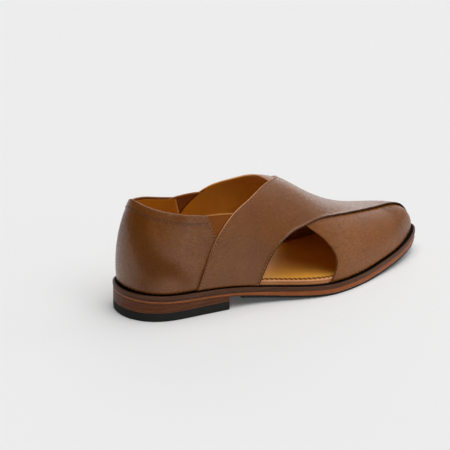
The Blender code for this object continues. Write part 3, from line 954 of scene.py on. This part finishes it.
def gusset(name, side, replaces):
    """Elastic triangle between the quarter and a strap, sewn in between leather and lining."""

    def place(t, mix):
        rear, rear_turn, front, front_turn = (
            low * (1 - t) + high * t for low, high in zip(GUSSET_FOOT, GUSSET_TOP[side])
        )
        turn = rear_turn + (front_turn - rear_turn) * mix
        return share_of(rear + (front - rear) * mix), turn if side < 0 else 180 - turn

    mix = np.linspace(0, 1, GUSSET_STEPS)
    share, turn = place(mix[:, None], mix)
    lift = GUSSET_REAR_LIFT * (1 - mix) + GUSSET_FRONT_LIFT[side] * mix
    lift = lift + GUSSET_BULGE * np.sin(np.pi * mix) ** 2
    sheet(name, share, turn, lift, lift - ELASTIC, lift, "elastic", [elastic], replaces=replaces)
    share, turn = place(np.linspace(HEM_START, 1.0, HEM_STEPS)[:, None], mix)
    swell = HEM_SWELL * np.sin(np.linspace(0, np.pi, HEM_STEPS))[:, None]
    top = lift + HEM_LIFT + swell
    low = lift + HEM_LIFT - ELASTIC - HEM_DEPTH - swell
    sheet(name + "_hem", share, turn, top, low, top, "elastic", [gusset_hem])


quarter_leather()
collar_band()
strap_leather("leather_strap_under", under_place, UNDER_LEATHER, 0.0, lit_vamp_copy, window_edge, CUT_WIDTH)
strap_leather("leather_strap_over", over_place, OVER_LEATHER, FOLD_LIFT, brown, edge_paint_and_shade, FOLD_WIDTH)
lining_sheet("lining_quarter", lambda t, mix: quarter_place(t, mix * QUARTER_LINING_END),
             np.linspace(-0.995, 0.995, 161), QUARTER_LINING, along_edges=False, count=30, rim=lining_rim,
             on_rim=lambda t, start: np.abs(t) > QUARTER_RIM)
# painted shadow on the under strap's lining edge beside the gusset
lining_sheet("lining_strap_under", under_place, np.linspace(0, 1, 160), UNDER_LINING, rim=edge_paint_and_shade,
             on_rim=lambda t, start: (t > UNDER_LINING_SHADE[0]) & (t < UNDER_LINING_SHADE[1]) & (start < UNDER_LINING_SHADE[2]))
lining_sheet("lining_strap_over", lambda t, mix: over_place(t, mix * OVER_LINING_END), np.linspace(0, 1, 160),
             OVER_LINING)
for side, name in SIDES:
    gusset("elastic_" + name, side, ["gusset_" + name])

# Stitches along the edges of the leather
STITCH, HOLE, COLLAR_STITCH = 2.0, 1.2, 2.5  # lengths of a stitch, of a hole and of a stitch on the collar
HOLE_RADIUS, COLLAR_THREAD = 0.5, 0.28
STITCH_START = 0.02  # share of a strap where its stitches start
COLLAR_SEAM = BAND_HEIGHT - 1.4  # distance of the collar stitches from the edge
QUARTER_SEAM_START, SEAM_END = 0.45, 0.985  # shares of the quarter between which its stitches run
strap_line = np.linspace(0.0, 1.0, 700)


def stitch_line(name, points, normals):
    """Stitches with painted shade in the holes between them."""
    thread_row(name, points, normals, PITCH, STITCH, highlit_thread)
    thread_row(name + "_holes", points, normals, PITCH, HOLE, hole_shade, radius=HOLE_RADIUS, start=1.0,
               sink=0.0, proud=-0.45)


for name, place, lift, end, from_end in (
    ("over_rear", over_place, OVER_LEATHER[1] - SEAM_DEPTH, 0.93, False),
    ("over_front", over_place, OVER_LEATHER[1] + 0.5, 0.43, True),
    ("under_rear", under_place, UNDER_LEATHER[1] - SEAM_DEPTH, 0.5, False),
    ("under_front", under_place, UNDER_LEATHER[1] - 0.1, 0.4, True),
):
    reach = STITCH_START + (end - STITCH_START) * strap_line
    stitch_line("stitches_" + name, *edge_path(place, reach, SEAM, lift, from_end))
for side, name in SIDES:
    climb = np.linspace(QUARTER_SEAM_START, SEAM_END, 400)
    path = edge_path(lambda height, mix, s=side: quarter_place(s * (1 - mix), height), climb, SEAM, -0.1)
    stitch_line("stitches_quarter_" + name, *path)
points, normals = edge_path(quarter_place, np.linspace(-SEAM_END, SEAM_END, 900), COLLAR_SEAM, 0.34, True)
thread_row("stitches_collar", points, normals, PITCH, COLLAR_STITCH, shaded_collar_thread, radius=COLLAR_THREAD)

# Footbed
FOOTBED_TOP = GAP + INSOLE
SOCK_EDGE = 1.6  # the tan sock stops this far inside the binding
SOCK = 0.6  # height of its top above the binding
SOCK_SEAM, SOCK_SINK = 0.5, 0.15  # its stitches are this far inside its edge and this far sunk
FOOTBED_PITCH, FOOTBED_STITCH = 4.2, 4.6
RIM_START = 0.88  # share of the binding's height above which its edge is pale
BINDING_RIM = (
    (0, 0.35), (0.04, 0.1), (0.12, 0.0), (0.42, 0.1), (0.5, 0.22), (0.58, 0.1),
    (0.8, 0.0), (0.9, 0.06), (0.96, 0.2), (1, 0.45),
)
SOCK_RIM = ((0, 0.0), (0.5, 0.0), (0.85, 0.15), (1, 0.5))


def footbed_top(x):
    return welt_top(x) + FOOTBED_TOP


layer("footbed_binding", (0, LENGTH), insole_inset, lambda x: welt_top(x) + SEAT, footbed_top, BINDING_RIM,
      [binding, binding_rim],
      paint=lambda x, level: np.where(level > RIM_START, 1, 0), replaces=["insole"])
layer("footbed_sock", (0, LENGTH), lambda x: insole_inset(x) + SOCK_EDGE, lambda x: footbed_top(x) + THINNEST,
      lambda x: footbed_top(x) + SOCK, SOCK_RIM, [lit_sock_leather], replaces=["insole"])
x_line = station(np.linspace(0.03, 0.97, 900))
for side, name, cord, radius in ((-1, "lateral", sock_thread, 0.7), (1, "medial", pale_sock_thread, 0.35)):
    x, y, _, _ = inset_edge(x_line, side, insole_inset(x_line) + SOCK_EDGE + SOCK_SEAM)
    points = np.stack((x, y, footbed_top(x) + SOCK - SOCK_SINK), axis=-1)
    up = np.tile((0.0, 0.0, 1.0), (len(points), 1))
    thread_row("stitches_footbed_" + name, points, up, FOOTBED_PITCH, FOOTBED_STITCH, cord, radius=radius,
               slant=0.3 * side)

# Sole
WELT_TRIM = 1.3  # the dyed edge shows this far in on top of the welt; inside that the top is black dye with painted shade
ROUND_RIM = (
    (0, 0.55), (0.04, 0.25), (0.12, 0.06), (0.25, 0.0), (0.75, 0.0), (0.88, 0.06), (0.96, 0.25), (1, 0.5),
    (1, WELT_TRIM),
)
SIDE_LEVELS = np.linspace(0.14, 0.86, 14)
SOLE_RIM = ((0, 0.3), (0.06, 0.08), *((level, 0.0) for level in SIDE_LEVELS), (0.94, 0.08), (1, 0.3))
ORANGE_BAND = (  # station, bottom and top of the orange band as shares of the outsole's thickness
    (0, 0.36, 0.62),
    (85, 0.3, 0.62),
    (110, 0.2, 0.8),
    (150, 0, 1),
    (300, 0, 1),
)
TREAD_RIM = ((0, 0.3), (0.3, 0.0), (1, 0.0))
LIFTS_RIM = ((0, 0.1), (0.05, 0.0), (0.46, 0.0), (0.5, 0.2), (0.54, 0.0), (0.95, 0.0), (1, 0.1))
TOP_PIECE_RIM = ((0, 0.7), (0.06, 0.3), (0.15, 0.05), (0.3, 0.0), (0.97, 0.0), (1, 0.15))


def outsole_paint(x, level):
    """Orange band of the outsole's side: thin over the heel, the whole side in front of it."""
    rows = np.array(ORANGE_BAND, float)
    low, high = (np.interp(x, rows[:, 0], rows[:, k]) for k in (1, 2))
    return np.where(level > high, 2, np.where(level < low, 1, 0))


layer("welt_strip", (0, LENGTH), constant(0.0), lambda x: welt_top(x) - WELT + THINNEST, welt_top, ROUND_RIM,
      [welt_edge, welt_dye_and_shade], top_material=1, replaces=["welt"])
layer("outsole_leather", (0, LENGTH), constant(SOLE_STEP), lambda x: below_rubber(x) + THINNEST,
      lambda x: welt_top(x) - WELT, SOLE_RIM, [orange_edge, stack_edge, welt_edge],
      paint=outsole_paint, replaces=["outsole"])
layer("forefoot_tread", (RUBBER_START, LENGTH), constant(2 * SOLE_STEP), underside, below_rubber, TREAD_RIM,
      [black], replaces=["forefoot_rubber"])
layer("heel_lifts", (0, BREAST), constant(SOLE_STEP), constant(HEEL_RUBBER + SEAT), below_rubber, LIFTS_RIM,
      [stack_edge], replaces=["heel_stack"], stations=91)
layer("heel_top_piece", (0, BREAST), constant(SOLE_STEP), constant(0.0), constant(HEEL_RUBBER), TOP_PIECE_RIM,
      [black], replaces=["heel_rubber"], stations=91)

# Stage

FLOOR_REACH = 6.0  # metres from the middle to the floor's sides
FLOOR_TONE, FLOOR_ROUGHNESS = 0.86, 0.9
FLOOR_GLOW = 0.06  # the floor's own glow, painted light that keeps the shadows soft
LENS, SENSOR = 414.0, 36.0  # mm
TARGET = Vector((0.03804, 0.13671, 0.0016))  # metres
AZIMUTH, ELEVATION, DISTANCE = np.radians(-32.5), np.radians(20.09), 4.5
LOBES = (  # turn to the right of the view and height of the light, both in degrees, and its strength
    (0, 90, 2.42),
    (45, 62, 0.45),
    (135, 62, 2.28),
    (45, 36, 0.7),
    (292.5, 36, 0.11),
    (0, 12, 1.65),
    (22.5, 12, 0.2),
    (67.5, 12, 0.3),
    (90, 12, 0.55),
    (135, 12, 0.38),
)
LOBE_EDGE, LOBE_CORE = 32.0, 4.0  # a lobe fades out this far from its middle, and is full inside that
AMBIENT = 0.03


def direction(heading, height):
    """Unit vector at a heading, 0 along +Y and turning left, and a height, both in radians."""
    return Vector((-np.sin(heading) * np.cos(height), np.cos(heading) * np.cos(height), np.sin(height)))


def studio_light():
    """Soft light from all round: each lobe is one large soft source."""
    scene.world = bpy.data.worlds.new("studio")
    n = Nodes(scene.world, "Background", "Generated")
    edge, core = np.cos(np.radians((LOBE_EDGE, LOBE_CORE))).tolist()
    total = AMBIENT
    for turn, height, strength in LOBES:
        facing = n.against("DOT_PRODUCT", direction(AZIMUTH - np.radians(turn), np.radians(height)))
        total = n.math("ADD", n.ramp(facing, edge, core, 0.0, strength), total)
    n.fill(n.shader, {"Strength": total, "Color": (1, 1, 1)})


corners = [(FLOOR_REACH * x, FLOOR_REACH * y, 0) for x, y in ((-1, -1), (1, -1), (1, 1), (-1, 1))]
floor_mesh = bpy.data.meshes.new("floor")
floor_mesh.from_pydata(corners, [], [(0, 1, 2, 3)])
floor = add_object("floor", floor_mesh)
pale = new_material("pale_floor")
floor_mesh.materials.append(pale.finish((FLOOR_TONE,) * 3, FLOOR_ROUGHNESS, gloss=0.0))
# painted light: the floor glows
pale.fill(pale.shader, {"Emission Color": (1, 1, 1), "Emission Strength": FLOOR_GLOW})

camera = add_object("camera", bpy.data.cameras.new("camera"))
camera.data.lens = LENS
camera.data.sensor_width = SENSOR
scene.camera = camera
view = direction(AZIMUTH, -ELEVATION)
camera.location = TARGET - view * DISTANCE
camera.rotation_euler = view.to_track_quat("-Z", "Y").to_euler()

studio_light()
scene.view_settings.view_transform = "Standard"
